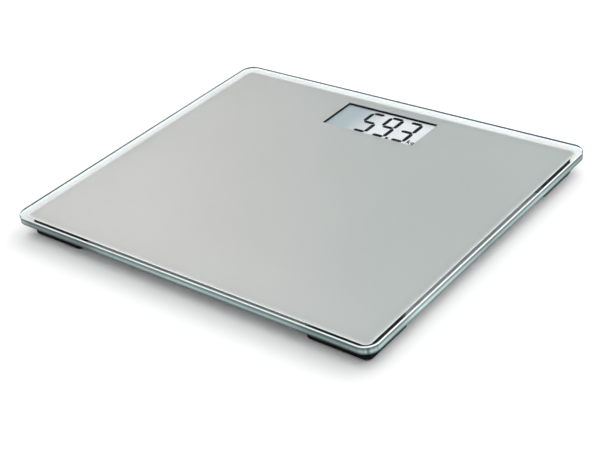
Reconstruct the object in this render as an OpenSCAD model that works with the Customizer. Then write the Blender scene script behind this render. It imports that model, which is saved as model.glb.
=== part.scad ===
// Digital bathroom scale: a glass platform on four load-cell feet, with a numeric display
// seen through the glass and a coin cell behind a sliding door in the underside.
// Millimetres. Origin on the floor under the middle of the platform, +X to the right,
// +Y towards the display edge, +Z up.

/* [Platform] */
// Width of the glass, left to right
glass_w = 310; // [290:1:380]
// Depth of the glass, front to back
glass_d = 260; // [240:1:340]
// Thickness of the glass
glass_t = 6; // [4:0.5:10]
// Corner radius of the glass, seen from above
glass_corner_r = 10; // [9:0.5:24]
// Polished chamfer along the upper edges of the glass
glass_chamfer = 0.5; // [0.4:0.1:1.6]
// Ground arris along the lower edges of the glass
glass_arris = 0.4; // [0.2:0.1:1.2]
// Bare glass left around the silver film
film_margin = 5.5; // [4:0.5:8]
// Thickness of the silver film under the glass
film_t = 0.2; // [0.1:0.05:0.4]
// Thickness of the foam tape between the film and what hangs from it
tape_t = 0.6; // [0.4:0.1:1]

/* [Display] */
// Width of the clear window in the film
window_w = 81; // [70:1:95]
// Depth of the clear window in the film
window_d = 34.5; // [30:0.5:42]
// Distance from the rear edge of the glass to the window
window_inset = 15; // [15:0.5:30]
// How far the black gasket and frame stand back from the edge of the window
window_reveal = 0.3; // [0.1:0.1:1]
// Thickness of the foam gasket between the film and the display frame
gasket_t = 0.8; // [0.3:0.1:1]
// Thickness of the frame lip over the liquid crystal panel
frame_lip_t = 1.2; // [0.6:0.1:1.4]
// Wall of the display frame
frame_wall = 1.5; // [1:0.1:2]
// Border of the liquid crystal panel under the frame lip
lcd_border = 3.5; // [2.5:0.5:5]
// Thickness of one pane of the liquid crystal panel
lcd_pane_t = 0.8; // [0.6:0.1:1.1]
// How much shorter the upper pane is at the front, for the contact row
lcd_ledge = 2; // [1:0.5:3]
// Clearance of the panel in its frame
lcd_clear = 0.3; // [0.1:0.1:0.5]
// Thickness of the backlight
backlight_t = 1; // [0.8:0.1:1.5]
// Width of each conductive rubber strip under the panel
zebra_w = 1.8; // [1.2:0.1:2.4]
// Height of the digits
digit_h = 30; // [20:0.5:31]
// Width of the digits
digit_w = 13.5; // [9:0.5:14]
// Distance between neighbouring digits
digit_pitch = 17; // [15:0.5:19]
// Place of the middle digit, to the right of the middle of the window
digit_offset_x = 6.8; // [0:0.1:8]
// Place of the digits, behind the middle of the window
digit_offset_y = 0.75; // [0:0.25:1.5]
// Width of a digit's segments
segment_w = 3.1; // [1.6:0.1:3.2]
// Gap between neighbouring segments
segment_gap = 0.3; // [0.2:0.1:0.8]
// Thickness of the dark segments on the panel
segment_t = 0.1; // [0.05:0.05:0.2]
// Height of the unit letters
unit_h = 4.5; // [3:0.5:6]
// Line width of the unit letters
unit_line = 0.8; // [0.4:0.1:0.8]

/* [Feet] */
// Width of a foot housing
foot_w = 48.5; // [46:0.5:54]
// Depth of a foot housing
foot_d = 42; // [41:0.5:48]
// Corner radius of a foot housing, seen from above
foot_corner_r = 4.5; // [4:0.5:12]
// Distance of a foot housing from the side edge of the glass
foot_inset_x = 8; // [6:0.5:16]
// Distance of a foot housing from the front or rear edge of the glass
foot_inset_y = 8; // [6:0.5:16]
// Wall of a foot housing
foot_wall = 2; // [1.2:0.1:2.5]
// Thickness of the top of a foot housing
foot_top_t = 2; // [1.8:0.1:3]
// Chamfer around the lower edge of a foot housing
foot_chamfer = 0.4; // [0.2:0.1:1.2]
// Height of the lower edge of a foot housing above the floor
skirt_lift = 1; // [0.9:0.1:2.4]
// Clearance between a pedestal and the wall of its housing
pedestal_clear = 0.7; // [0.5:0.1:1]
// Thickness of a pedestal
pedestal_t = 2; // [1.5:0.1:3]
// Thickness of a rubber pad
pad_t = 1.5; // [1.2:0.1:2.5]
// How much smaller a rubber pad is than its pedestal, on each side
pad_step = 1.5; // [0.5:0.1:3]
// Chamfer around the lower edge of a rubber pad
pad_chamfer = 0.4; // [0.2:0.1:0.8]
// Number of grip grooves under a rubber pad
pad_grooves = 5; // [3:1:7]
// Width of a grip groove
groove_w = 1.6; // [1:0.1:2.4]
// Depth of a grip groove
groove_depth = 0.5; // [0.3:0.1:0.8]

/* [Load cells] */
// Width of the load cell plate
cell_w = 36; // [34:0.5:38]
// Depth of the load cell plate
cell_d = 32; // [31:0.5:33]
// Thickness of the load cell plate
cell_t = 2; // [1.5:0.1:2.5]
// Width of the clamped rim of a load cell
cell_rim = 5; // [4:0.2:6]
// Corner radius of the load cell plate
cell_corner_r = 3; // [1.5:0.5:4]
// Width of the bending tongue of a load cell
tongue_w = 12; // [10:0.5:14]
// Gap between the tip of the tongue and the rim
tongue_gap = 4; // [2:0.5:5]
// How far the weight of a person bends a tongue at most
press_travel = 0.5; // [0.2:0.1:0.8]
// Clearance left at the end of a travel
stop_clear = 0.3; // [0.2:0.05:0.5]
// Diameter of the pedestal's boss under the tongue
boss_d = 11; // [9:0.5:12]
// Diameter of the pedestal's split stud through the tongue
stud_d = 6.4; // [5:0.2:7]
// Diameter of the barbed head of the stud
stud_head_d = 8.2; // [7.8:0.2:9]
// Height of the barbed head of the stud
stud_head_h = 0.6; // [0.4:0.1:0.9]
// Width of the slot that splits the stud
stud_slot = 1.6; // [1:0.2:2.4]
// Clearance around the stud
stud_clear = 0.3; // [0.15:0.05:0.5]
// Thickness of the plate that clamps a load cell
retainer_t = 1.5; // [1.3:0.1:2]
// How much wider than the load cell its clamping plate is, on each side
retainer_margin = 1.6; // [0.5:0.1:1.8]
// Length of a strain gauge
gauge_l = 6; // [4:0.5:7]
// Width of a strain gauge
gauge_w = 4.4; // [3.6:0.2:6]
// Thickness of a strain gauge
gauge_t = 0.1; // [0.05:0.05:0.2]

/* [Electronics] */
// Thickness of the circuit board
board_t = 1; // [0.8:0.1:1.6]
// Board left beside the display frame on each side
board_side = 6.2; // [6:0.2:9]
// Board left in front of the display frame
board_front = 17; // [16:0.5:24]
// Corner radius of the circuit board
board_corner_r = 2; // [1.5:0.25:3]
// Distance of the board screws from the edges of the board
board_screw_inset = 3; // [2.8:0.1:3.4]
// Height of the posts under the board
post_h = 2; // [1.8:0.1:2.6]
// Diameter of the posts under the board
post_d = 5; // [4:0.25:5.5]
// Wall of the electronics housing
tray_wall = 1.8; // [1.4:0.1:2.2]
// Thickness of the floor of the electronics housing
tray_floor_t = 1.6; // [1.2:0.1:2]
// Clearance between the board and the walls around it
tray_clear = 0.5; // [0.3:0.1:0.8]
// Outer corner radius of the electronics housing
tray_corner_r = 4; // [3:0.5:6]
// Width of the flange around the mouth of the electronics housing
tray_flange = 1.2; // [0.8:0.1:1.3]
// Thickness of that flange
tray_flange_t = 1; // [0.8:0.1:1.5]
// Side of the controller chip
chip_side = 7; // [5:0.5:9]
// Height of the controller chip
chip_h = 1.2; // [0.8:0.1:1.8]
// Width of a plug socket for the load cell wires
socket_w = 3; // [2.4:0.1:3.6]
// Length of a plug socket
socket_l = 5; // [4.4:0.2:6]
// Height of a plug socket
socket_h = 2.2; // [1.8:0.1:2.6]

/* [Screws] */
// Shank diameter of every screw
screw_d = 2; // [1.6:0.1:2.4]
// Head diameter of every screw
screw_head_d = 3.8; // [3.4:0.1:4.2]
// Head height of every screw
screw_head_h = 0.9; // [0.6:0.1:1.1]
// Clearance around a screw
screw_clear = 0.1; // [0.05:0.05:0.2]
// Depth of the cross recess in a screw head
recess_depth = 0.5; // [0.3:0.1:0.6]
// How far a screw bites into what it holds to
screw_bite = 2.4; // [1.8:0.1:2.6]

/* [Battery] */
// Diameter of the coin cell
coin_d = 20; // [18:0.5:24]
// Thickness of the coin cell
coin_t = 3.2; // [2.5:0.1:3.6]
// Clearance of the coin cell in its pocket
coin_clear = 0.5; // [0.4:0.1:0.8]
// Clearance between the coin cell and the door
coin_lift = 0.4; // [0.2:0.1:0.6]
// Wall of the coin cell's pocket
pocket_wall = 1.5; // [1:0.1:2]
// Thickness of the plate over the pocket
pocket_top_t = 1; // [0.8:0.1:1.2]
// Thickness of the contact springs
contact_t = 0.3; // [0.2:0.05:0.35]
// Width of the contact springs
contact_w = 4; // [3:0.2:5]
// Width of the battery door
door_w = 28; // [26:0.5:32]
// Width of the rail along each side of the door
door_rail = 1.5; // [1:0.1:2]
// Thickness of the rails of the door
door_rail_t = 0.8; // [0.6:0.1:1]
// Clearance around the door
door_clear = 0.3; // [0.2:0.05:0.4]
// Number of thumb grooves in the door
thumb_grooves = 5; // [3:1:6]

/* [Unit button] */
// Diameter of the button
button_d = 8; // [6:0.5:10]
// Distance of the button from the side of the electronics housing
button_inset = 16; // [14:0.5:22]
// Travel of the button
button_travel = 0.4; // [0.2:0.05:0.5]
// How far the button stands out of the housing
button_proud = 0.5; // [0.3:0.1:0.8]
// Clearance around the button
button_clear = 0.3; // [0.2:0.05:0.4]
// Width of the flange that keeps the button in
button_flange = 1; // [0.7:0.1:1.5]
// Thickness of that flange
button_flange_t = 0.5; // [0.3:0.1:0.7]
// Side of the tact switch
switch_side = 5; // [4:0.5:6]
// Height of the plunger of the tact switch
plunger_h = 0.3; // [0.2:0.05:0.4]

/* [Wiring] */
// Diameter of a load cell wire
wire_d = 0.9; // [0.7:0.05:1.1]
// Distance between neighbouring wires
wire_pitch = 1.2; // [1.1:0.05:1.3]
// Radius of the bends in the wires
bend_r = 8; // [5:0.5:10]
// Width of the duct over the wires
duct_w = 6.4; // [6:0.2:8]
// Wall of the duct
duct_wall = 0.8; // [0.6:0.1:1]
// Clearance between the wires and what they pass through
wire_clear = 0.2; // [0.1:0.05:0.3]
// Gap between the end of a duct and its neighbour
duct_gap = 0.2; // [0.1:0.05:0.4]

/* [Hidden] */
$fn = 64;
eps = 0.1;

// Heights, from the floor up
pedestal_z = pad_t;
boss_h = retainer_t + press_travel + stop_clear;
cell_z = pedestal_z + pedestal_t + boss_h;
cell_top = cell_z + cell_t;
foot_top_z = cell_top + stud_head_h + press_travel + stop_clear;
seat_z = foot_top_z + foot_top_t;
film_z = seat_z + tape_t;
deck_z = film_z + film_t;
gasket_z = film_z - gasket_t;
lcd_top = gasket_z - frame_lip_t;
lcd_z = lcd_top - 2 * lcd_pane_t;
backlight_z = lcd_z - backlight_t;
board_top = backlight_z;
board_z = board_top - board_t;
tray_inside_z = board_z - post_h;
tray_z = tray_inside_z - tray_floor_t;
wire_z = cell_top + gauge_t + wire_d / 2;
duct_inside_z = wire_z - wire_d / 2 - wire_clear;

// Display, seen from above
window_y = glass_d / 2 - window_inset - window_d / 2;
reveal_w = window_w + 2 * window_reveal;
reveal_d = window_d + 2 * window_reveal;
lcd_w = window_w + 2 * lcd_border;
lcd_d = window_d + 2 * lcd_border;
frame_w = lcd_w + 2 * (lcd_clear + frame_wall);
frame_d = lcd_d + 2 * (lcd_clear + frame_wall);
zebra_y = lcd_d / 2 - zebra_w / 2;
backlight_d = lcd_d - 2 * (zebra_w + lcd_clear);

// Circuit board and electronics housing, seen from above
board_w = frame_w + 2 * board_side;
board_rear = window_y + frame_d / 2;
board_front_y = window_y - frame_d / 2 - board_front;
board_d = board_rear - board_front_y;
board_y = (board_rear + board_front_y) / 2;
board_screw_x = board_w / 2 - board_screw_inset;
board_screw_y = [board_front_y + board_screw_inset, board_rear - board_screw_inset];
pocket_r = coin_d / 2 + coin_clear;
bay_rear = board_front_y - tray_clear;
coin_y = bay_rear - tray_clear - pocket_wall - pocket_r;
tray_rear = board_rear + tray_clear + tray_wall;
tray_front = coin_y - pocket_r - pocket_wall - tray_clear - tray_wall;
tray_w = board_w + 2 * (tray_clear + tray_wall);
tray_d = tray_rear - tray_front;
tray_y = (tray_rear + tray_front) / 2;
socket_x = frame_w / 2 + tray_clear + socket_w / 2;
strip_y = board_front_y + board_front / 2;

// Battery door and bay
rail_z = tray_inside_z + door_clear;
door_top = rail_z + door_rail_t;
door_rear = bay_rear - door_clear - tray_clear;
bay_x = door_w / 2 + door_rail + door_clear;
coin_z = door_top + coin_lift;
coin_top = coin_z + coin_t;
pocket_top = seat_z - pocket_top_t;
pocket_z = door_top + door_clear;
clip_x = coin_d / 2 + contact_t / 4;
tail_y = board_front_y + 2;

// Unit button and its switch
button_x = tray_w / 2 - button_inset;
button_bottom = tray_z - button_proud;
flange_top = tray_inside_z + button_flange_t;
plunger_z = flange_top + button_travel + eps / 2;
switch_z = plunger_z + plunger_h;

// Feet
foot_x = glass_w / 2 - foot_inset_x - foot_w / 2;
foot_y = glass_d / 2 - foot_inset_y - foot_d / 2;
cavity_w = foot_w - 2 * foot_wall;
cavity_d = foot_d - 2 * foot_wall;
cavity_r = foot_corner_r - foot_wall;
pedestal_w = cavity_w - 2 * pedestal_clear;
pedestal_d = cavity_d - 2 * pedestal_clear;
pedestal_r = cavity_r - pedestal_clear;
cell_window_w = cell_w - 2 * cell_rim;
cell_window_d = cell_d - 2 * cell_rim;
cell_screw_x = cell_w / 2 - cell_rim / 2;
cell_screw_y = cell_d / 2 - cell_rim / 2;
tongue_l = cell_window_w - tongue_gap;

// Wires: three side by side from each foot, all entering the housing from its side
wire_offsets = [-wire_pitch, 0, wire_pitch];
slot_w = 2 * wire_pitch + wire_d + 2 * wire_clear;
wire_start_x = foot_x - cell_window_w / 2 + gauge_l / 2;
wire_end_x = socket_x + socket_w / 2;
duct_start_x = foot_x - foot_w / 2 - duct_gap;
duct_end_x = tray_w / 2 + tray_flange + duct_gap;
run_x = (duct_start_x + duct_end_x) / 2;
front_entry_y = window_y - frame_d / 2 - socket_l / 2;
rear_entry_y = foot_y;

CORNERS = ["front_left", "front_right", "rear_left", "rear_right"];
SIDE_X = [-1, 1, -1, 1];
SIDE_Y = [-1, -1, 1, 1];
PER_CORNER = ["foot_housing_", "foot_tape_", "load_cell_", "cell_retainer_", "foot_pedestal_",
    "rubber_pad_", "wire_harness_", "wire_duct_"];
SINGLE = ["glass_platform", "silver_film", "window_gasket", "display_frame", "lcd_panel",
    "lcd_segments", "lcd_backlight", "zebra_strips", "main_board", "controller_chip",
    "board_components", "board_screws", "unit_switch", "unit_button", "electronics_housing",
    "housing_tape", "coin_cell", "battery_contact_positive", "battery_contact_negative",
    "battery_door", "strain_gauges", "retainer_screws"];

BLACK = "#17181a";
RUBBER = "#101112";
SILVER = "#b9bab4";
FOAM = "#202124";
STEEL = "#b9bdc1";
GOLD = "#c9a54c";

// ---- Shapes used more than once ----

// Rectangle with round corners, centred
module round_rect(w, d, r) {
    square([w - 2 * r, d], center = true);
    square([w, d - 2 * r], center = true);
    for (sx = [-1, 1], sy = [-1, 1])
        translate([sx * (w / 2 - r), sy * (d / 2 - r)]) circle(r);
}

module slab(w, d, h, r) {
    linear_extrude(h) round_rect(w, d, r);
}

// Slab with a chamfer around its top edge, its bottom edge or both
module chamfered_slab(w, d, h, r, top = 0, bottom = 0) {
    half_w = w / 2 - r;
    half_d = d / 2 - r;
    edge = [[0, 0], [r - bottom, 0], [r, bottom], [r, h - top], [r - top, h], [0, h]];
    translate([-half_w, -half_d, 0]) cube([2 * half_w, 2 * half_d, h]);
    for (turn = [0:3]) {
        across = turn % 2 == 0 ? half_w : half_d;
        along = turn % 2 == 0 ? half_d : half_w;
        rotate([0, 0, 90 * turn]) {
            translate([across, along, 0]) rotate([90, 0, 0]) linear_extrude(2 * along) polygon(edge);
            translate([across, along, 0]) rotate_extrude(angle = 90) polygon(edge);
        }
    }
}

// Flat ring of a given opening inside a round-cornered outline
module ring(w, d, h, r, open_w, open_d, open_r) {
    linear_extrude(h) difference() {
        round_rect(w, d, r);
        round_rect(open_w, open_d, open_r);
    }
}

// Screw standing on its head: head from z = 0, tip up. A countersunk head tapers to the shank.
module screw(grip, countersunk) {
    head_r = screw_head_d / 2;
    shoulder = countersunk ? screw_d / 2 : head_r;
    difference() {
        rotate_extrude() polygon([[0, 0], [head_r, 0], [shoulder, screw_head_h],
            [screw_d / 2, screw_head_h], [screw_d / 2, grip + screw_bite - 0.4],
            [screw_d / 4, grip + screw_bite], [0, grip + screw_bite]]);
        for (turn = [0, 90]) rotate([0, 0, turn])
            translate([-screw_d / 2, -0.25, -eps]) cube([screw_d, 0.5, recess_depth + eps]);
    }
}

module at_cell_screws() {
    for (sx = [-1, 1], sy = [-1, 1]) translate([sx * cell_screw_x, sy * cell_screw_y, 0]) children();
}

module at_board_screws() {
    for (sx = [-1, 1], y = board_screw_y) translate([sx * board_screw_x, y, 0]) children();
}

// Brings a foot drawn around its own middle, +X and +Y pointing outwards, to its corner
module at_corner(k) {
    mirror([SIDE_X[k] < 0 ? 1 : 0, 0, 0]) mirror([0, SIDE_Y[k] < 0 ? 1 : 0, 0])
        translate([foot_x, foot_y, 0]) children();
}

// ---- Platform ----

module glass_platform() {
    color("#b9dcd6", 0.35) translate([0, 0, deck_z])
        chamfered_slab(glass_w, glass_d, glass_t, glass_corner_r, glass_chamfer, glass_arris);
}

module silver_film() {
    film_r = glass_corner_r - film_margin;
    color(SILVER) translate([0, 0, film_z]) linear_extrude(film_t) difference() {
        round_rect(glass_w - 2 * film_margin, glass_d - 2 * film_margin, film_r);
        translate([0, window_y]) square([window_w, window_d], center = true);
    }
}

// ---- Display ----

module window_gasket() {
    color(FOAM) translate([0, window_y, gasket_z])
        ring(frame_w, frame_d, gasket_t, frame_wall, reveal_w, reveal_d, window_reveal);
}

module display_frame() {
    color(BLACK) translate([0, window_y, 0]) {
        translate([0, 0, lcd_top])
            ring(frame_w, frame_d, frame_lip_t, frame_wall, reveal_w, reveal_d, window_reveal);
        translate([0, 0, board_top]) linear_extrude(lcd_top - board_top) difference() {
            round_rect(frame_w, frame_d, frame_wall);
            square([lcd_w + 2 * lcd_clear, lcd_d + 2 * lcd_clear], center = true);
        }
    }
}

module lcd_panel() {
    color("#c9d2d6") translate([-lcd_w / 2, window_y - lcd_d / 2, lcd_z]) {
        cube([lcd_w, lcd_d, lcd_pane_t]);
        translate([0, lcd_ledge, 0]) cube([lcd_w, lcd_d - lcd_ledge, 2 * lcd_pane_t]);
    }
}

// One bar of a digit, pointed at both ends, along +X from the origin
module segment(length) {
    tip = segment_w / 2;
    polygon([[0, 0], [tip, tip], [length - tip, tip], [length, 0], [length - tip, -tip], [tip, -tip]]);
}

// A digit of seven segments from its lower left corner. Lit segments are counted from the
// top bar: top, upper right, lower right, bottom, lower left, upper left, middle.
module digit(lit) {
    left = segment_w / 2;
    right = digit_w - segment_w / 2;
    low = segment_w / 2;
    high = digit_h - segment_w / 2;
    middle = digit_h / 2;
    bar = right - left - 2 * segment_gap;
    post = middle - low - 2 * segment_gap;
    if (lit[0]) translate([left + segment_gap, high]) segment(bar);
    if (lit[1]) translate([right, middle + segment_gap]) rotate(90) segment(post);
    if (lit[2]) translate([right, low + segment_gap]) rotate(90) segment(post);
    if (lit[3]) translate([left + segment_gap, low]) segment(bar);
    if (lit[4]) translate([left, low + segment_gap]) rotate(90) segment(post);
    if (lit[5]) translate([left, middle + segment_gap]) rotate(90) segment(post);
    if (lit[6]) translate([left + segment_gap, middle]) segment(bar);
}

// A straight stroke of a unit letter
module stroke(from, to) {
    run = to - from;
    translate(from) rotate(atan2(run[1], run[0]))
        translate([0, -unit_line / 2]) square([norm(run), unit_line]);
}

// The letters kg from their lower left corner
module unit_letters() {
    x_height = unit_h * 0.6;
    stem = unit_line / 2;
    leg_x = x_height;
    bowl_r = x_height / 2;
    bowl_x = leg_x + unit_line + bowl_r;
    tail_x = bowl_x + bowl_r - stem;
    stroke([stem, 0], [stem, unit_h]);
    stroke([stem, x_height / 3], [leg_x - stem, x_height]);
    stroke([unit_line, x_height / 2], [leg_x, 0]);
    translate([bowl_x, bowl_r]) difference() {
        circle(bowl_r);
        circle(bowl_r - unit_line);
    }
    stroke([tail_x, x_height], [tail_x, -bowl_r]);
    stroke([tail_x + stem, -bowl_r], [bowl_x - bowl_r, -bowl_r]);
}

module lcd_segments() {
    five = [true, false, true, true, false, true, true];
    nine = [true, true, true, true, false, true, true];
    three = [true, true, true, true, false, false, true];
    digits = [five, nine, three];
    low_y = -digit_h / 2;
    color("#16181c") translate([digit_offset_x, window_y + digit_offset_y, lcd_top])
        linear_extrude(segment_t) {
            for (k = [0:2]) translate([(k - 1) * digit_pitch - digit_w / 2, low_y]) digit(digits[k]);
            translate([digit_pitch / 2, low_y + segment_w / 2 - segment_gap])
                square(segment_w * 0.8, center = true);
            translate([digit_pitch + digit_w / 2 + segment_w / 2, low_y + unit_h / 3]) unit_letters();
        }
}

module lcd_backlight() {
    color("#eef3f4") translate([-lcd_w / 2, window_y - backlight_d / 2, backlight_z])
        cube([lcd_w, backlight_d, backlight_t]);
}

module zebra_strips() {
    color("#d98a8a") for (side = [-1, 1])
        translate([0, window_y + side * zebra_y, backlight_z + backlight_t / 2])
            cube([window_w, zebra_w, backlight_t], center = true);
}

// ---- Circuit board ----

module main_board() {
    color("#1f6b3a") difference() {
        translate([0, board_y, board_z]) slab(board_w, board_d, board_t, board_corner_r);
        at_board_screws() translate([0, 0, board_z - eps])
            cylinder(d = screw_d + 2 * screw_clear, h = board_t + 2 * eps);
    }
}

module controller_chip() {
    pin_pitch = chip_side / 8;
    color("#1d1d1f") translate([-chip_side * 2.5, strip_y, board_top]) {
        translate([-chip_side / 2, -chip_side / 2, 0]) cube([chip_side, chip_side, chip_h]);
        for (turn = [0:3], k = [-3:3]) rotate([0, 0, 90 * turn])
            translate([chip_side / 2 - eps, (k - 0.2) * pin_pitch, 0])
                cube([1 + eps, pin_pitch * 0.4, chip_h / 2]);
    }
}

module board_components() {
    part_l = 1.6;
    part_w = 0.8;
    part_h = 0.6;
    crystal_d = 2;
    color("#cdb892") {
        for (k = [0:5], row = [-1, 1])
            translate([door_w / 2 + (k + 2) * 2 * part_w, strip_y + row * part_l - part_l / 2, board_top])
                cube([part_w, part_l, part_h]);
        for (k = [0:3])
            translate([-board_w / 4 - (k + 2) * 2 * part_w, strip_y - part_l / 2, board_top])
                cube([part_w, part_l, part_h]);
        translate([-chip_side, strip_y + crystal_d, board_top])
            cylinder(d = crystal_d, h = 1.5 * part_h);
    }
    color("#e9e4d2") for (side = [-1, 1], y = [front_entry_y, rear_entry_y])
        translate([side * socket_x, y, board_top + socket_h / 2])
            cube([socket_w, socket_l, socket_h], center = true);
}

module board_screws() {
    color(STEEL) at_board_screws() translate([0, 0, board_top + screw_head_h]) rotate([180, 0, 0])
        screw(screw_head_h + board_t, false);
}

module unit_switch() {
    color("#2a2b2e") translate([button_x, strip_y, 0]) {
        translate([-switch_side / 2, -switch_side / 2, switch_z])
            cube([switch_side, switch_side, board_z - switch_z]);
        translate([0, 0, plunger_z]) cylinder(d = switch_side / 2, h = plunger_h);
    }
}

module unit_button() {
    color("#3a3c40") translate([button_x, strip_y, 0]) {
        translate([0, 0, button_bottom]) cylinder(d = button_d, h = flange_top - button_bottom);
        translate([0, 0, tray_inside_z])
            cylinder(d = button_d + 2 * (button_clear + button_flange), h = button_flange_t);
    }
}

// ---- Electronics housing ----

// Cross-section of the battery door: a plate with a rail along each side, grown by a clearance
module door_section(grow) {
    plate = door_w / 2 + grow;
    rail = door_w / 2 + door_rail + grow;
    bottom = grow > 0 ? tray_z - eps : tray_z;
    polygon([[-plate, bottom], [plate, bottom], [plate, rail_z - grow], [rail, rail_z - grow],
        [rail, door_top + grow], [-rail, door_top + grow], [-rail, rail_z - grow],
        [-plate, rail_z - grow]]);
}

module along_y(from, to) {
    translate([0, to, 0]) rotate([90, 0, 0]) linear_extrude(to - from) children();
}

module tray_shell() {
    inner_r = tray_corner_r - tray_wall;
    difference() {
        translate([0, tray_y, 0]) {
            translate([0, 0, tray_z]) chamfered_slab(tray_w, tray_d, seat_z - tray_z, tray_corner_r,
                0, tray_floor_t / 2);
            translate([0, 0, seat_z - tray_flange_t])
                slab(tray_w + 2 * tray_flange, tray_d + 2 * tray_flange, tray_flange_t,
                    tray_corner_r + tray_flange);
        }
        translate([0, tray_y, tray_inside_z])
            slab(tray_w - 2 * tray_wall, tray_d - 2 * tray_wall, seat_z, inner_r);
    }
}

// Side walls, rail lips and roof of the battery bay, and the round pocket of the coin cell
module battery_bay() {
    inside_front = tray_front + tray_wall;
    bay_l = bay_rear - inside_front;
    for (side = [0, 1]) mirror([side, 0, 0]) {
        translate([bay_x, inside_front - eps, tray_inside_z - eps])
            cube([pocket_wall, bay_l + eps, seat_z - tray_inside_z + eps]);
        translate([bay_x - door_rail + door_clear, inside_front - eps, pocket_z])
            cube([door_rail, bay_l + eps, pocket_wall / 2]);
    }
    translate([-bay_x - eps, inside_front - eps, pocket_top])
        cube([2 * (bay_x + eps), bay_l + eps, pocket_top_t]);
    translate([0, coin_y, pocket_z]) difference() {
        cylinder(r = pocket_r + pocket_wall, h = pocket_top - pocket_z + eps);
        translate([0, 0, -eps]) cylinder(r = pocket_r, h = pocket_top - pocket_z + eps);
    }
}

module electronics_housing() {
    color(BLACK) difference() {
        union() {
            tray_shell();
            battery_bay();
            at_board_screws() translate([0, 0, tray_inside_z - eps])
                cylinder(d = post_d, h = post_h + eps);
        }
        along_y(tray_front - eps, door_rear + door_clear) door_section(door_clear);
        translate([button_x, strip_y, tray_z - eps])
            cylinder(d = button_d + 2 * button_clear, h = tray_floor_t + 2 * eps);
        at_board_screws() translate([0, 0, board_z - screw_bite - screw_clear])
            cylinder(d = screw_d + screw_clear, h = screw_bite + screw_clear + eps);
        for (side = [-1, 1], y = [front_entry_y, rear_entry_y])
            translate([side * tray_w / 2, y, wire_z])
                cube([3 * tray_wall, slot_w, wire_d + 2 * wire_clear], center = true);
        translate([0, coin_y - contact_w / 2 - coin_clear, coin_z])
            cube([pocket_r + 2 * pocket_wall, contact_w + 2 * coin_clear, pocket_top - coin_z]);
        translate([-contact_w / 2 - coin_clear, coin_y, coin_top])
            cube([contact_w + 2 * coin_clear, pocket_r + 2 * pocket_wall, pocket_top - coin_top]);
    }
}

module housing_tape() {
    lip = tray_wall + tray_flange;
    color(FOAM) translate([0, tray_y, seat_z])
        ring(tray_w + 2 * tray_flange, tray_d + 2 * tray_flange, tape_t, tray_corner_r + tray_flange,
            tray_w + 2 * tray_flange - 2 * lip, tray_d + 2 * tray_flange - 2 * lip,
            tray_corner_r - tray_wall);
}

// ---- Battery ----

module coin_cell() {
    rim = coin_t / 8;
    color("#c4c7ca") translate([0, coin_y, coin_z]) rotate_extrude()
        polygon([[0, 0], [coin_d / 2 - rim, 0], [coin_d / 2, rim], [coin_d / 2, coin_t - 2 * rim],
            [coin_d / 2 - 2 * rim, coin_t - 2 * rim], [coin_d / 2 - 2 * rim, coin_t], [0, coin_t]]);
}

// Clip on the side of the coin cell, with a tail over the edge of the board
module battery_contact_positive() {
    arm_z = coin_top - contact_t;
    tail_x = pocket_r + pocket_wall + tray_clear;
    color(GOLD) {
        translate([clip_x, coin_y - contact_w / 2, coin_z + contact_t])
            cube([contact_t, contact_w, coin_t - contact_t]);
        translate([clip_x, coin_y - contact_w / 4, arm_z])
            cube([tail_x - clip_x + eps, contact_w / 2, contact_t]);
        translate([tail_x, coin_y - contact_w / 4, arm_z])
            cube([contact_w / 2, tail_y - coin_y + contact_w / 4, contact_t]);
        translate([tail_x, tail_y - contact_t, board_top])
            cube([contact_w / 2, contact_t, arm_z - board_top + contact_t]);
    }
}

// Leaf that presses on the coin cell from above, with a tail over the edge of the board
module battery_contact_negative() {
    leaf_z = pocket_top - contact_t;
    start_y = coin_y - contact_w / 2;
    dip_y = coin_y + contact_w;
    color(GOLD) {
        translate([-contact_w / 2, start_y, leaf_z])
            cube([contact_w, tail_y - start_y, contact_t]);
        translate([contact_w / 4, 0, 0]) rotate([0, -90, 0]) linear_extrude(contact_w / 2)
            polygon([[leaf_z, start_y], [leaf_z + contact_t, start_y], [coin_top + contact_t, dip_y],
                [coin_top, dip_y]]);
        translate([-contact_w / 2, tail_y - contact_t, board_top])
            cube([contact_w, contact_t, leaf_z - board_top + contact_t]);
    }
}

module battery_door() {
    groove_l = door_w / 2;
    pitch = 2 * groove_w;
    color(BLACK) difference() {
        along_y(tray_front, door_rear) door_section(0);
        for (k = [1:thumb_grooves])
            translate([-groove_l / 2, tray_front + k * pitch, tray_z - eps])
                cube([groove_l, groove_w, groove_depth + eps]);
    }
}

// ---- Feet ----

module foot_housing() {
    slot_x = foot_w / 2 - cell_window_w / 2;
    color(BLACK) difference() {
        union() {
            difference() {
                translate([0, 0, skirt_lift])
                    chamfered_slab(foot_w, foot_d, seat_z - skirt_lift, foot_corner_r, 0, foot_chamfer);
                translate([0, 0, skirt_lift - eps])
                    slab(cavity_w, cavity_d, foot_top_z - skirt_lift + eps, cavity_r);
            }
            translate([0, 0, cell_top]) linear_extrude(foot_top_z - cell_top + eps) difference() {
                round_rect(cavity_w + 2 * eps, cavity_d + 2 * eps, cavity_r);
                square([cell_window_w, cell_window_d], center = true);
            }
        }
        translate([-foot_w / 2 - eps, -slot_w / 2, duct_inside_z])
            cube([slot_x + 2 * eps, slot_w, foot_top_z - duct_inside_z]);
        at_cell_screws() translate([0, 0, cell_top - eps])
            cylinder(d = screw_d + screw_clear, h = screw_bite + screw_clear + eps);
    }
}

module foot_tape() {
    color(FOAM) translate([0, 0, seat_z])
        slab(foot_w - 2 * foot_wall, foot_d - 2 * foot_wall, tape_t, foot_corner_r - foot_wall);
}

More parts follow.
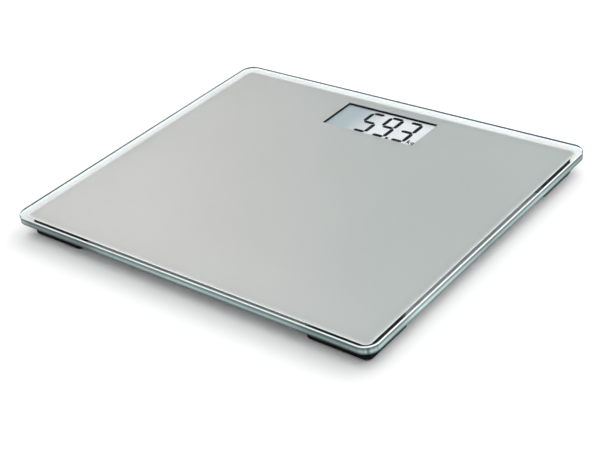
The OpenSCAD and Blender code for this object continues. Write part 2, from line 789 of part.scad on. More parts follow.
// Steel plate with a clamped rim and a bending tongue rooted on the inner side
module load_cell() {
    tongue_r = tongue_w / 4;
    color(STEEL) difference() {
        translate([0, 0, cell_z]) linear_extrude(cell_t) {
            difference() {
                round_rect(cell_w, cell_d, cell_corner_r);
                square([cell_window_w, cell_window_d], center = true);
            }
            translate([-tongue_gap / 2, 0]) {
                round_rect(tongue_l, tongue_w, tongue_r);
                translate([-tongue_l / 2 - eps, -tongue_w / 2]) square([tongue_l / 2, tongue_w]);
            }
        }
        translate([0, 0, cell_z - eps]) {
            cylinder(d = stud_d + 2 * stud_clear, h = cell_t + 2 * eps);
            at_cell_screws() cylinder(d = screw_d + 2 * screw_clear, h = cell_t + 2 * eps);
        }
    }
}

module strain_gauges() {
    root_x = -cell_window_w / 2;
    color(GOLD) for (k = [0:3]) at_corner(k)
        translate([root_x, -gauge_w / 2, cell_top]) cube([gauge_l, gauge_w, gauge_t]);
}

module cell_retainer() {
    sink_r = screw_head_d / 2 + screw_clear;
    hole_r = screw_d / 2 + screw_clear;
    color("#2b2d30") difference() {
        translate([0, 0, cell_z - retainer_t])
            ring(cell_w + 2 * retainer_margin, cell_d + 2 * retainer_margin, retainer_t,
                cell_corner_r + retainer_margin, cell_window_w, cell_window_d, cell_corner_r / 2);
        at_cell_screws() translate([0, 0, cell_z - retainer_t]) rotate_extrude()
            polygon([[0, -eps], [sink_r, -eps], [sink_r, 0], [hole_r, screw_head_h + screw_clear],
                [hole_r, retainer_t + eps], [0, retainer_t + eps]]);
    }
}

module retainer_screws() {
    color(STEEL) for (k = [0:3]) at_corner(k) at_cell_screws()
        translate([0, 0, cell_z - retainer_t]) screw(retainer_t + cell_t, true);
}

module foot_pedestal() {
    color(BLACK) difference() {
        union() {
            translate([0, 0, pedestal_z]) slab(pedestal_w, pedestal_d, pedestal_t, pedestal_r);
            translate([0, 0, pedestal_z + pedestal_t - eps]) cylinder(d = boss_d, h = boss_h + eps);
            translate([0, 0, cell_z - eps]) cylinder(d = stud_d, h = cell_t + 2 * eps);
            translate([0, 0, cell_top])
                cylinder(d1 = stud_head_d, d2 = stud_d, h = stud_head_h);
        }
        translate([-stud_slot / 2, -stud_head_d, cell_z])
            cube([stud_slot, 2 * stud_head_d, 2 * cell_t + stud_head_h]);
    }
}

module rubber_pad() {
    pad_w = pedestal_w - 2 * pad_step;
    pad_d = pedestal_d - 2 * pad_step;
    pitch = pad_w / (pad_grooves + 1);
    color(RUBBER) difference() {
        chamfered_slab(pad_w, pad_d, pad_t, pedestal_r, 0, pad_chamfer);
        for (k = [1:pad_grooves])
            translate([-pad_w / 2 + k * pitch - groove_w / 2, -pad_d / 4, -eps])
                cube([groove_w, pad_d / 2, groove_depth + eps]);
    }
}

// ---- Wiring ----

// Path of the wires of a right-hand foot, as pieces of a line offset sideways: it leaves the
// foot towards the middle. From a rear foot it runs straight into the housing. From a front
// foot it turns to the rear along run_x, and turns again into the housing.
module straight_x(from_x, to_x, y) {
    translate([to_x, y, 0]) rotate([0, 90, 0]) cylinder(d = wire_d, h = from_x - to_x);
}

module bend(turn, radius) {
    rotate([0, 0, turn]) rotate_extrude(angle = 90) translate([radius, 0]) circle(d = wire_d);
}

module front_wire(offset) {
    start_y = -foot_y - offset;
    end_y = front_entry_y - offset;
    wire_x = run_x - offset;
    translate([0, 0, wire_z]) {
        straight_x(wire_start_x, run_x + bend_r, start_y);
        translate([run_x + bend_r, -foot_y + bend_r, 0]) bend(180, bend_r + offset);
        translate([wire_x, -foot_y + bend_r, 0]) rotate([-90, 0, 0])
            cylinder(d = wire_d, h = front_entry_y - bend_r + foot_y - bend_r);
        translate([run_x - bend_r, front_entry_y - bend_r, 0]) bend(0, bend_r - offset);
        straight_x(run_x - bend_r, wire_end_x, end_y);
    }
}

module wire_harness(k) {
    colours = ["#b3262a", "#e8e6e0", "#1b1b1d"];
    mirror([SIDE_X[k] < 0 ? 1 : 0, 0, 0]) for (w = [0:2]) color(colours[w])
        if (SIDE_Y[k] < 0) front_wire(wire_offsets[w]);
        else translate([0, 0, wire_z]) straight_x(wire_start_x, wire_end_x, rear_entry_y + wire_offsets[w]);
}

module quarter_band(turn, width) {
    rotate(turn) intersection() {
        difference() {
            circle(bend_r + width / 2);
            circle(bend_r - width / 2);
        }
        square(2 * bend_r);
    }
}

// Outline of a duct of a given width, reaching past its ends by a given length
module duct_outline(k, width, past) {
    half = width / 2;
    if (SIDE_Y[k] > 0) {
        translate([duct_end_x - past, rear_entry_y - half])
            square([duct_start_x - duct_end_x + 2 * past, width]);
    } else {
        low_y = -foot_y + bend_r;
        high_y = front_entry_y - bend_r;
        translate([run_x + bend_r, -foot_y - half]) square([duct_start_x + past - run_x - bend_r, width]);
        translate([run_x + bend_r, low_y]) quarter_band(180, width);
        translate([run_x - half, low_y]) square([width, high_y - low_y]);
        translate([run_x - bend_r, high_y]) quarter_band(0, width);
        translate([duct_end_x - past, front_entry_y - half])
            square([run_x - bend_r - duct_end_x + past, width]);
    }
}

module wire_duct(k) {
    bottom_z = duct_inside_z - duct_wall;
    color(BLACK) mirror([SIDE_X[k] < 0 ? 1 : 0, 0, 0]) difference() {
        translate([0, 0, bottom_z]) linear_extrude(film_z - bottom_z) duct_outline(k, duct_w, 0);
        translate([0, 0, duct_inside_z]) linear_extrude(film_z - duct_inside_z + eps)
            duct_outline(k, duct_w - 2 * duct_wall, eps);
    }
}

// ---- The assembly ----

glass_platform();
silver_film();
window_gasket();
display_frame();
lcd_panel();
lcd_segments();
lcd_backlight();
zebra_strips();
main_board();
controller_chip();
board_components();
board_screws();
unit_switch();
unit_button();
electronics_housing();
housing_tape();
coin_cell();
battery_contact_positive();
battery_contact_negative();
battery_door();
strain_gauges();
retainer_screws();
for (k = [0:3]) {
    at_corner(k) foot_housing();
    at_corner(k) foot_tape();
    at_corner(k) load_cell();
    at_corner(k) cell_retainer();
    at_corner(k) foot_pedestal();
    at_corner(k) rubber_pad();
    wire_harness(k);
    wire_duct(k);
}
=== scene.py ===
"""Looks of the digital bathroom scale: studio, camera, glass, print, display and mouldings.

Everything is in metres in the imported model's own frame: origin on the floor under the middle
of the platform, +X right, +Y to the display edge, +Z up.
"""
import math

import bpy
from mathutils import Matrix, Vector


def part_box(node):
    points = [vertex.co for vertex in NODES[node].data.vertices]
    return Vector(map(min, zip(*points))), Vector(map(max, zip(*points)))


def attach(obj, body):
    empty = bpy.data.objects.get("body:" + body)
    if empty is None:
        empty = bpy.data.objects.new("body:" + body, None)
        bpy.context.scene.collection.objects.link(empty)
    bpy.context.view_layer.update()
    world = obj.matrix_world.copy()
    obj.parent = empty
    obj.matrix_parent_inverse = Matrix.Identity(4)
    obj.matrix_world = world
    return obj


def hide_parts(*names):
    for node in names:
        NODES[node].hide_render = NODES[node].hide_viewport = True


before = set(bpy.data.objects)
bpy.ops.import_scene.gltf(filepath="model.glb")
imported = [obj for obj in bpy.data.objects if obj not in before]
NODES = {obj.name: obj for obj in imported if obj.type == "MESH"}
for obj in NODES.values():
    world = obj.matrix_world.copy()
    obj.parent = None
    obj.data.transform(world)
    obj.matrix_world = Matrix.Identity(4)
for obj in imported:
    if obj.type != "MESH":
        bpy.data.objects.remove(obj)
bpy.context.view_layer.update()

MM = 0.001
CORNERS = ("front_left", "front_right", "rear_left", "rear_right")

GLASS_LOW, GLASS_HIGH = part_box("glass_platform")
FILM_LOW, FILM_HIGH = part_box("silver_film")
FILM_CORNER_R = 4.5 * MM
MARGIN = FILM_LOW.x - GLASS_LOW.x

BLACK = (0, 0, 0)
WHITE = (1, 1, 1)


def srgb(*values):
    """Linear colour from 0..255 display values."""
    def linear(v):
        v /= 255
        return v / 12.92 if v <= 0.04045 else ((v + 0.055) / 1.055) ** 2.4
    return tuple(linear(v) for v in values)


def grey(level):
    """Linear grey."""
    return (level, level, level)


# ---------------------------------------------------------------- camera and studio

CAMERA_AT = Vector((0.52975, -0.58018, 0.4769))
LOOK_AT = Vector((0.03635, -0.04418, 0.0180))
CAMERA_ROLL = math.radians(-8.04)
SENSOR_WIDTH = 36.0
LENS = 78.1

KEY_STRENGTH = 1.8
KEY_ANGLE = math.radians(80)
KEY_DIRECTION = Vector((-0.10, -0.18, -1.0))

FLOOR_SIZE = 6.0
FLOOR_LEVEL = 0.925

# The soft room that lights the object: its strength, and that of the brighter wall behind
ROOM_LEVEL = 0.46
BACK_LEVEL = 1.25
BACK_WALL = Vector((0.5, 0.86, 0.1)).normalized()
BACK_WALL_REACH = math.radians(80)
BACK_WALL_CORE = math.radians(30)

# The black flag that metal and glass see high up at the back left
FLAG_LEVEL = 0.05
FLAG = Vector((-0.473, 0.525, 0.707)).normalized()
FLAG_REACH = math.radians(25)
FLAG_CORE = math.radians(18)


def add_camera():
    data = bpy.data.cameras.new("camera")
    data.sensor_width = SENSOR_WIDTH
    data.lens = LENS
    data.clip_start = 0.01
    data.clip_end = 20.0
    camera = bpy.data.objects.new("camera", data)
    bpy.context.scene.collection.objects.link(camera)
    aim = (LOOK_AT - CAMERA_AT).to_track_quat("-Z", "Y").to_matrix().to_4x4()
    camera.matrix_world = Matrix.Translation(CAMERA_AT) @ aim @ Matrix.Rotation(CAMERA_ROLL, 4, "Z")
    bpy.context.scene.camera = camera


def add_lights():
    """A broad soft key from above, a little from the back right."""
    data = bpy.data.lights.new("overhead_key", "SUN")
    data.angle = KEY_ANGLE
    data.energy = KEY_STRENGTH
    key = bpy.data.objects.new("overhead_key", data)
    bpy.context.scene.collection.objects.link(key)
    key.rotation_euler = KEY_DIRECTION.to_track_quat("-Z", "Y").to_euler()


def add_world():
    """A soft room that is brighter low down behind. The camera sees plain white; metal and glass
    see the same white with a black flag high up at the back left."""
    world = bpy.data.worlds.new("studio")
    bpy.context.scene.world = world
    world.use_nodes = True
    nodes = world.node_tree.nodes
    links = world.node_tree.links
    nodes.clear()

    def turning(direction, reach, core, outside, inside):
        """A strength that turns from outside to inside within an angle of a direction."""
        place = nodes.new("ShaderNodeTexCoord")
        towards = nodes.new("ShaderNodeVectorMath")
        towards.operation = "DOT_PRODUCT"
        towards.inputs[1].default_value = direction
        links.new(place.outputs["Generated"], towards.inputs[0])
        level = nodes.new("ShaderNodeMapRange")
        level.interpolation_type = "SMOOTHSTEP"
        level.inputs["From Min"].default_value = math.cos(reach)
        level.inputs["From Max"].default_value = math.cos(core)
        level.inputs["To Min"].default_value = outside
        level.inputs["To Max"].default_value = inside
        links.new(towards.outputs["Value"], level.inputs["Value"])
        return level.outputs["Result"]

    def white(strength=None):
        """White light, of strength 1 unless another is linked."""
        made = nodes.new("ShaderNodeBackground")
        made.inputs["Color"].default_value = (*WHITE, 1.0)
        made.inputs["Strength"].default_value = 1.0
        if strength is not None:
            links.new(strength, made.inputs["Strength"])
        return made.outputs[0]

    room = white(turning(BACK_WALL, BACK_WALL_REACH, BACK_WALL_CORE, ROOM_LEVEL, BACK_LEVEL))
    mirrored = white(turning(FLAG, FLAG_REACH, FLAG_CORE, 1.0, FLAG_LEVEL))
    path = nodes.new("ShaderNodeLightPath")
    mirror = nodes.new("ShaderNodeMath")
    mirror.operation = "MAXIMUM"
    links.new(path.outputs["Is Glossy Ray"], mirror.inputs[0])
    links.new(path.outputs["Is Transmission Ray"], mirror.inputs[1])
    sky = room
    for sight, seen in ((mirror.outputs[0], mirrored), (path.outputs["Is Camera Ray"], white())):
        mix = nodes.new("ShaderNodeMixShader")
        links.new(sight, mix.inputs[0])
        links.new(sky, mix.inputs[1])
        links.new(seen, mix.inputs[2])
        sky = mix.outputs[0]
    out = nodes.new("ShaderNodeOutputWorld")
    links.new(sky, out.inputs["Surface"])


# ---------------------------------------------------------------- material helpers

class Material:
    """A node material under construction, with short calls for the nodes used here."""

    def __init__(self, name):
        self.material = bpy.data.materials.new(name)
        self.material.use_nodes = True
        self.nodes = self.material.node_tree.nodes
        self.links = self.material.node_tree.links
        self.shader = self.nodes["Principled BSDF"]
        self.out = self.nodes["Material Output"]

    def set(self, **values):
        """Fixed values of the shader's own sockets."""
        for key, value in values.items():
            self.shader.inputs[key.replace("_", " ")].default_value = value

    def feed(self, socket, value):
        """A node's output into a socket of the shader."""
        self.links.new(value, self.shader.inputs[socket])

    def node(self, kind, **settings):
        made = self.nodes.new("ShaderNode" + kind)
        for key, value in settings.items():
            setattr(made, key, value)
        return made

    def place(self, kind):
        """A texture coordinate: Object in metres, or Normal."""
        return self.node("TexCoord").outputs[kind]

    def noise(self, scale, detail=2.0, roughness=0.5, stretch=(1, 1, 1), seed=0.0):
        mapping = self.node("Mapping")
        mapping.inputs["Scale"].default_value = stretch
        mapping.inputs["Location"].default_value = (seed, seed * 0.7, seed * 1.3)
        noise = self.node("TexNoise")
        noise.inputs["Scale"].default_value = scale
        noise.inputs["Detail"].default_value = detail
        noise.inputs["Roughness"].default_value = roughness
        self.links.new(self.place("Object"), mapping.inputs["Vector"])
        self.links.new(mapping.outputs["Vector"], noise.inputs["Vector"])
        return noise.outputs["Fac"]

    def ramp(self, value, stops):
        """A colour from a value by (position, colour) stops."""
        ramp = self.node("ValToRGB")
        elements = ramp.color_ramp.elements
        while len(elements) < len(stops):
            elements.new(0.5)
        for element, (position, colour) in zip(elements, stops):
            element.position = position
            element.color = (*colour, 1.0)
        self.links.new(value, ramp.inputs["Fac"])
        return ramp.outputs["Color"]

    def mottled(self, noise, dark, light):
        """A colour that wanders between two tones with a noise."""
        return self.ramp(noise, [(0.3, dark), (0.7, light)])

    def mix(self, factor, a, b, blend="MIX"):
        """Two colours mixed; the factor is a number or a value."""
        mix = self.node("Mix", data_type="RGBA", blend_type=blend)
        if isinstance(factor, float):
            mix.inputs["Factor"].default_value = factor
        else:
            self.links.new(factor, mix.inputs["Factor"])
        self.links.new(a, mix.inputs["A"])
        self.links.new(b, mix.inputs["B"])
        return mix.outputs["Result"]

    def colour(self, values):
        plain = self.node("RGB")
        plain.outputs[0].default_value = (*values, 1.0)
        return plain.outputs[0]

    def math(self, operation, *values):
        """A Math node of numbers or values."""
        math_node = self.node("Math", operation=operation)
        for socket, value in zip(math_node.inputs, values):
            if isinstance(value, (int, float)):
                socket.default_value = value
            else:
                self.links.new(value, socket)
        return math_node.outputs["Value"]

    def axis(self, name):
        """A coordinate of the object, in metres."""
        split = self.node("SeparateXYZ")
        self.links.new(self.place("Object"), split.inputs[0])
        return split.outputs[name]

    def along(self, name, low, high):
        """0 to 1 from low to high along an axis."""
        along = self.node("MapRange")
        along.inputs["From Min"].default_value = low
        along.inputs["From Max"].default_value = high
        self.links.new(self.axis(name), along.inputs["Value"])
        return along.outputs["Result"]

    def off_centre(self, name, reach):
        """0 in the middle plane of an axis, 1 at reach from it on either side."""
        return self.math("DIVIDE", self.math("ABSOLUTE", self.axis(name)), reach)

    def inset(self, low, high, radius, reach):
        """0 on the outline of a box with round corners seen from above, 1 at reach inside it."""
        past = []
        for name, centre, half in (("X", (low.x + high.x) / 2, (high.x - low.x) / 2),
                                   ("Y", (low.y + high.y) / 2, (high.y - low.y) / 2)):
            off = self.math("ABSOLUTE", self.math("SUBTRACT", self.axis(name), centre))
            past.append(self.math("SUBTRACT", off, half - radius))
        squares = [self.math("POWER", self.math("MAXIMUM", value, 0.0), 2.0) for value in past]
        from_corner = self.math("POWER", self.math("ADD", *squares), 0.5)
        straight = self.math("MINIMUM", self.math("MAXIMUM", *past), 0.0)
        outside = self.math("ADD", from_corner, straight)
        return self.math("DIVIDE", self.math("SUBTRACT", radius, outside), reach)

    def facing_up(self):
        """1 on faces that look up, 0 on those that look down."""
        split = self.node("SeparateXYZ")
        self.links.new(self.place("Normal"), split.inputs[0])
        return self.math("GREATER_THAN", split.outputs["Z"], 0.0)

    def facing(self, direction):
        """How far a face looks along a direction, either way."""
        along = self.node("VectorMath", operation="DOT_PRODUCT")
        self.links.new(self.place("Normal"), along.inputs[0])
        along.inputs[1].default_value = direction
        return self.math("ABSOLUTE", along.outputs["Value"])

    def spread(self, value, low, high):
        """value from 0..1 to low..high."""
        spread = self.node("MapRange")
        spread.inputs["To Min"].default_value = low
        spread.inputs["To Max"].default_value = high
        self.links.new(value, spread.inputs["Value"])
        return spread.outputs["Result"]

    def bump(self, height, distance):
        bump = self.node("Bump")
        bump.inputs["Distance"].default_value = distance
        bump.inputs["Strength"].default_value = 1.0
        self.links.new(height, bump.inputs["Height"])
        self.feed("Normal", bump.outputs["Normal"])


# ---------------------------------------------------------------- tones

# Float glass: its body colour, and a painted glow on the bare margin underneath
GLASS_IOR = 1.52
GLASS_TINT = (0.30, 0.66, 0.64)
GLASS_DENSITY = 4.5
MARGIN_PAINTED_GLOW = (0.056, 0.066, 0.066)
MARGIN_REACH = 1.1 * MARGIN
UNDERSIDE_SKIN = 0.02 * MM

# Where the margin's painted glow lies, as shares of the way along each axis
MARGIN_GLOW_X = [(0.225, BLACK), (0.24, MARGIN_PAINTED_GLOW), (0.84, MARGIN_PAINTED_GLOW), (0.855, BLACK)]
MARGIN_GLOW_Y = [(0.145, BLACK), (0.16, MARGIN_PAINTED_GLOW), (0.775, MARGIN_PAINTED_GLOW), (0.79, BLACK)]

# The ground edge from its lower arris up to the chamfer, as shares of the glass height: its green
# with painted light and dark bands, a painted reflection and painted shade
EDGE_BODY = [(0.0, srgb(44, 58, 60)), (0.08, srgb(62, 80, 82)), (0.2, srgb(143, 172, 171)),
             (0.38, srgb(228, 243, 242)), (0.52, srgb(200, 220, 218)), (0.66, srgb(136, 165, 165)),
             (0.80, srgb(114, 141, 141)), (0.88, srgb(114, 139, 139))]
# The satin white chamfer, partly its own ground finish and partly a painted highlight, and where it
# starts
EDGE_CHAMFER = [(0.89, srgb(238, 250, 251)), (1.0, srgb(250, 255, 255))]
EDGE_CHAMFER_FROM = [(0.889, BLACK), (0.893, WHITE)]

# The chamfer is shaded where it goes round the front left and rear right corners
EDGE_SHADE_TOWARDS = Vector((0.74, 0.67, 0))
EDGE_SHADE = [(0.56, WHITE), (0.62, srgb(88, 116, 118))]

# Glints in the round corners: how dark between them, and how near to a corner they start
EDGE_GLINT = [(0.42, (0.35, 0.4, 0.4)), (0.56, WHITE)]
EDGE_GLINT_FROM = [(0.93, BLACK), (0.955, WHITE)]

# How light the body of the ground edge is painted, as shares of the way along each axis: painted
#  shade over the feet, which keep the daylight out, and in the middle of the short sides
EDGE_ALONG_X = [(0.02, 1.0), (0.05, 0.4), (0.24, 0.3), (0.28, 0.75), (0.5, 1.0), (0.8, 0.85),
                (0.86, 0.5), (0.96, 0.5), (0.99, 1.0)]
EDGE_ALONG_Y = [(0.02, 0.7), (0.12, 0.55), (0.2, 0.95), (0.5, 0.45), (0.75, 0.7), (0.86, 0.45),
                (0.96, 0.3), (1.0, 0.8)]

# The inner side of the ground edge, from below up: a painted glow low down, dark above
EDGE_INSIDE = [(0.29, srgb(232, 248, 252)), (0.36, srgb(14, 26, 28))]
EDGE_INSIDE_GLOW = 0.8

# The silver print: its tones, a painted shade that darkens and cools it towards the back right, and
#  the painted shade and painted glow of its rim, as shares of RIM_REACH inwards
FILM_TONES = srgb(243, 240, 238), srgb(248, 245, 243)
FILM_PAINTED_FALL_Y = 0.67
FILM_PAINTED_FALL = [(0.22, WHITE), (0.42, (0.925, 0.935, 0.94)), (0.62, (0.84, 0.885, 0.885)),
             (0.8, (0.82, 0.875, 0.875))]
RIM_REACH = 12 * MM
RIM_SHADE = [(0.0, WHITE), (0.12, grey(0.99)), (0.28, (0.95, 0.945, 0.94)),
             (0.42, (0.955, 0.955, 0.95)), (0.65, grey(0.97))]
RIM_GLOW = [(0.0, srgb(160, 166, 167)), (0.05, srgb(140, 146, 147)), (0.1, srgb(88, 91, 92)),
            (0.2, srgb(50, 51, 51)), (0.33, BLACK)]
BACKING_TONES = srgb(84, 86, 88), srgb(100, 102, 104)

# The display from left to right, painted darker at its left end as a painted shade, and its painted
# glow
LCD_TONES = [(0.22, srgb(187, 199, 205)), (0.5, srgb(246, 248, 250))]
LCD_GLOW = 0.26


# ---------------------------------------------------------------- materials

def floor_material():
    """Plain pale studio floor."""
    m = Material("studio_floor")
    m.set(Roughness=0.9, Specular_IOR_Level=0.0, Base_Color=(*grey(FLOOR_LEVEL), 1))
    return m.material


def glass_material():
    """Clear float glass with its green body. A painted glow on the bare margin underneath, except
    over the feet, stands in for light that comes in at the ground edge and leaves there."""
    m = Material("clear_glass")
    m.set(Base_Color=(*WHITE, 1), Roughness=0.0, IOR=GLASS_IOR, Transmission_Weight=1.0,
          Emission_Strength=1.0)
    glow = m.colour(BLACK)
    # Painted glow: emission on the margin's underside, dark over the feet
    for axis, across, stops in (("X", "Y", MARGIN_GLOW_X), ("Y", "X", MARGIN_GLOW_Y)):
        side, other = "XY".index(axis), "XY".index(across)
        bare = (GLASS_HIGH[other] - MARGIN_REACH) / GLASS_HIGH[other]
        margin = m.math("GREATER_THAN", m.off_centre(across, GLASS_HIGH[other]), bare)
        lit = m.ramp(m.along(axis, GLASS_LOW[side], GLASS_HIGH[side]), stops)
        glow = m.mix(margin, glow, lit)
    underneath = m.math("LESS_THAN", m.axis("Z"), GLASS_LOW.z + UNDERSIDE_SKIN)
    m.feed("Emission Color", m.mix(underneath, m.colour(BLACK), glow))
    body = m.node("VolumeAbsorption")
    body.inputs["Color"].default_value = (*GLASS_TINT, 1)
    body.inputs["Density"].default_value = GLASS_DENSITY
    m.links.new(body.outputs[0], m.out.inputs["Volume"])
    return m.material


def edge_level(level):
    """A level of light in the ground edge, greener as it gets darker."""
    return level * (0.8 + 0.2 * level), level * (1.05 - 0.05 * level), level * (1.03 - 0.03 * level)


def edge_material():
    """Ground edge of the glass: a satin white chamfer that is partly a painted highlight, and a
    green body with painted bands of reflection and shade, and painted glints.
    """
    m = Material("glass_edge")
    height = m.along("Z", GLASS_LOW.z, GLASS_HIGH.z)
    body = m.ramp(height, EDGE_BODY)
    # Painted shade over the feet and in the middle of the short sides
    for side, (axis, levels) in enumerate((("X", EDGE_ALONG_X), ("Y", EDGE_ALONG_Y))):
        light = m.ramp(m.along(axis, GLASS_LOW[side], GLASS_HIGH[side]),
                       [(at, edge_level(level)) for at, level in levels])
        body = m.mix(1.0, body, light, "MULTIPLY")
    near_corner = m.math("MINIMUM", m.off_centre("X", GLASS_HIGH.x), m.off_centre("Y", GLASS_HIGH.y))
    # Painted glints near the round corners
    glint = m.ramp(m.noise(420.0, 1.0, stretch=(1, 1, 0.05)), EDGE_GLINT)
    glint = m.mix(m.ramp(near_corner, EDGE_GLINT_FROM), m.colour(WHITE), glint)
    body = m.mix(1.0, body, glint, "MULTIPLY")
    shade = m.ramp(m.facing(EDGE_SHADE_TOWARDS), EDGE_SHADE)
    chamfer = m.mix(1.0, m.ramp(height, EDGE_CHAMFER), shade, "MULTIPLY")
    both = m.mix(m.ramp(height, EDGE_CHAMFER_FROM), body, chamfer)
    cloud = m.mottled(m.noise(30.0), (0.86, 0.88, 0.88), WHITE)
    m.feed("Base Color", m.mix(0.7, both, cloud, "MULTIPLY"))
    m.feed("Roughness", m.spread(m.noise(900.0), 0.12, 0.3))
    return m.material


def edge_inside_material():
    """Inner side of the ground edge: its lower part has a painted glow that stands in for daylight
    coming through.
    """
    m = Material("glass_edge_inside")
    cloud = m.mottled(m.noise(60.0), (0.86, 0.9, 0.9), WHITE)
    tone = m.ramp(m.along("Z", GLASS_LOW.z, GLASS_HIGH.z), EDGE_INSIDE)
    tone = m.mix(0.2, tone, cloud, "MULTIPLY")
    m.feed("Base Color", tone)
    # Painted glow on the lower part of the inner face
    m.feed("Emission Color", tone)
    m.set(Emission_Strength=EDGE_INSIDE_GLOW, Roughness=0.6)
    return m.material


def film_material():
    """Silver screen print: fine flake under the glass, painted darker and cooler to the back right
    as a painted shade. A painted glow on its rim stands in for daylight from the ground edge. Its
    underside is the dark backing."""
    m = Material("silver_film")
    flake = m.noise(9000.0, 1.0)
    tone = m.mottled(m.noise(6.0, seed=3.0), *FILM_TONES)
    # Painted shade, darker and cooler towards the back right
    across = m.math("ADD", m.along("X", FILM_LOW.x, FILM_HIGH.x),
                    m.math("MULTIPLY", m.along("Y", FILM_LOW.y, FILM_HIGH.y), FILM_PAINTED_FALL_Y))
    fall = m.ramp(m.math("DIVIDE", across, 1 + FILM_PAINTED_FALL_Y), FILM_PAINTED_FALL)
    tone = m.mix(1.0, tone, fall, "MULTIPLY")
    tone = m.mix(0.06, tone, m.mottled(flake, grey(0.7), WHITE), "MULTIPLY")
    rim = m.inset(FILM_LOW, FILM_HIGH, FILM_CORNER_R, RIM_REACH)
    # Painted shade along the rim of the print's face
    front = m.mix(1.0, tone, m.ramp(rim, RIM_SHADE), "MULTIPLY")
    m.feed("Base Color", m.mix(m.facing_up(), m.mottled(flake, *BACKING_TONES), front))
    # Painted glow on the rim of the print's face
    m.feed("Emission Color", m.mix(m.facing_up(), m.colour(BLACK), m.ramp(rim, RIM_GLOW)))
    m.feed("Roughness", m.spread(flake, 0.6, 0.7))
    m.set(Metallic=0.3, Emission_Strength=1.0)
    return m.material


def plastic_material(name, tone, roughness=0.5, grain=0.04 * MM, gloss=0.5):
    """Moulded plastic with a fine spark-eroded grain."""
    m = Material(name)
    m.set(Specular_IOR_Level=gloss)
    grit = m.noise(2600.0, 3.0, 0.6)
    darker = tuple(0.8 * c for c in tone)
    m.feed("Base Color", m.mottled(m.noise(40.0, seed=5.0), darker, tone))
    m.feed("Roughness", m.spread(grit, roughness - 0.08, roughness + 0.1))
    m.bump(grit, grain)
    return m.material


def rubber_material():
    """Matte black rubber with a coarse grit."""
    m = Material("pad_rubber")
    grit = m.noise(1800.0, 4.0, 0.7)
    m.feed("Base Color", m.mottled(grit, srgb(20, 20, 21), srgb(30, 30, 31)))
    m.feed("Roughness", m.spread(grit, 0.72, 0.9))
    m.bump(grit, 0.06 * MM)
    return m.material


def foam_material():
    """Black foam tape with open cells."""
    m = Material("foam_tape")
    cells = m.noise(3500.0, 2.0, 0.6)
    m.feed("Base Color", m.ramp(cells, [(0.35, srgb(14, 14, 15)), (0.65, srgb(34, 34, 36))]))
    m.set(Roughness=0.95)
    m.bump(cells, 0.08 * MM)
    return m.material


def metal_material(name, tone, roughness=0.28, stretch=(1, 1, 1)):
    """Plated metal with a fine grain, finer along an axis where it is stretched."""
    m = Material(name)
    grain = m.noise(1500.0, 3.0, 0.6, stretch=stretch)
    darker = tuple(0.85 * c for c in tone)
    m.feed("Base Color", m.mottled(grain, darker, tone))
    m.feed("Roughness", m.spread(grain, roughness - 0.06, roughness + 0.1))
    m.set(Metallic=1.0)
    m.bump(grain, 0.01 * MM)
    return m.material


def lcd_material():
    """Pale panel of the display, painted darker at its left end as a painted shade, with a faint
    painted glow that stands in for light from behind.
    """
    m = Material("lcd_glass")
    low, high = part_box("lcd_panel")
    grain = m.mottled(m.noise(4000.0, 1.0), grey(0.7), WHITE)
    # Painted shade at the left end of the panel
    tone = m.mix(0.05, m.ramp(m.along("X", low.x, high.x), LCD_TONES), grain, "MULTIPLY")
    m.feed("Base Color", tone)
    # Painted glow of the panel
    m.feed("Emission Color", tone)
    m.set(Roughness=0.5, Specular_IOR_Level=0.2, Emission_Strength=LCD_GLOW)
    return m.material


def ink_material():
    """Nearly black segments of the display."""
    m = Material("segment_ink")
    m.feed("Base Color", m.mottled(m.noise(3000.0), srgb(8, 9, 18), srgb(13, 14, 25)))
    m.set(Roughness=0.6, Specular_IOR_Level=0.1)
    return m.material


# ---------------------------------------------------------------- mesh helpers

SMALLEST_RADIUS = 0.05 * MM
EASE_STEPS = 3


def rounded_outline(half_w, half_d, radius, steps):
    """Points round a rectangle with round corners, anticlockwise, the same number for any size."""
    points = []
    for quarter in range(4):
        sx = 1 if quarter in (0, 3) else -1
        sy = 1 if quarter in (0, 1) else -1
        for step in range(steps + 1):
            angle = math.pi / 2 * (quarter + step / steps)
            points.append((sx * (half_w - radius) + radius * math.cos(angle),
                           sy * (half_d - radius) + radius * math.sin(angle)))
    return points


def eased(profile, radius):
    """A line of (inset, z) points with its inner corners rounded."""
    made = [profile[0]]
    for before, here, after in zip(profile, profile[1:], profile[2:]):
        before, here, after = Vector(before), Vector(here), Vector(after)
        reach = min(radius, (before - here).length / 2.2, (after - here).length / 2.2)
        start = here + (before - here).normalized() * reach
        end = here + (after - here).normalized() * reach
        for step in range(EASE_STEPS + 1):
            t = step / EASE_STEPS
            point = start * (1 - t) ** 2 + here * 2 * t * (1 - t) + end * t ** 2
            made.append((point.x, point.y))
    made.append(profile[-1])
    return made


def mesh_object(name, vertices, faces, material, smooth):
    mesh = bpy.data.meshes.new(name)
    mesh.from_pydata(vertices, [], faces)
    mesh.validate()
    mesh.materials.append(material)
    for polygon in mesh.polygons:
        polygon.use_smooth = smooth
    made = bpy.data.objects.new(name, mesh)
    bpy.context.scene.collection.objects.link(made)
    if smooth:
        even = made.modifiers.new("even_shading", "WEIGHTED_NORMAL")
        even.weight = 100
        even.keep_sharp = False
    return made


def outlines(low, high, radius, profile, steps):
    """Points of the rounded outline of a box, one level for each (inset, z) of a profile."""
    centre = (low + high) / 2
    half_w = (high.x - low.x) / 2
    half_d = (high.y - low.y) / 2
    points = []
    for inset, z in profile:
        corner_r = max(radius - inset, SMALLEST_RADIUS)
        points += [(centre.x + x, centre.y + y, z)
                   for x, y in rounded_outline(half_w - inset, half_d - inset, corner_r, steps)]
    return points


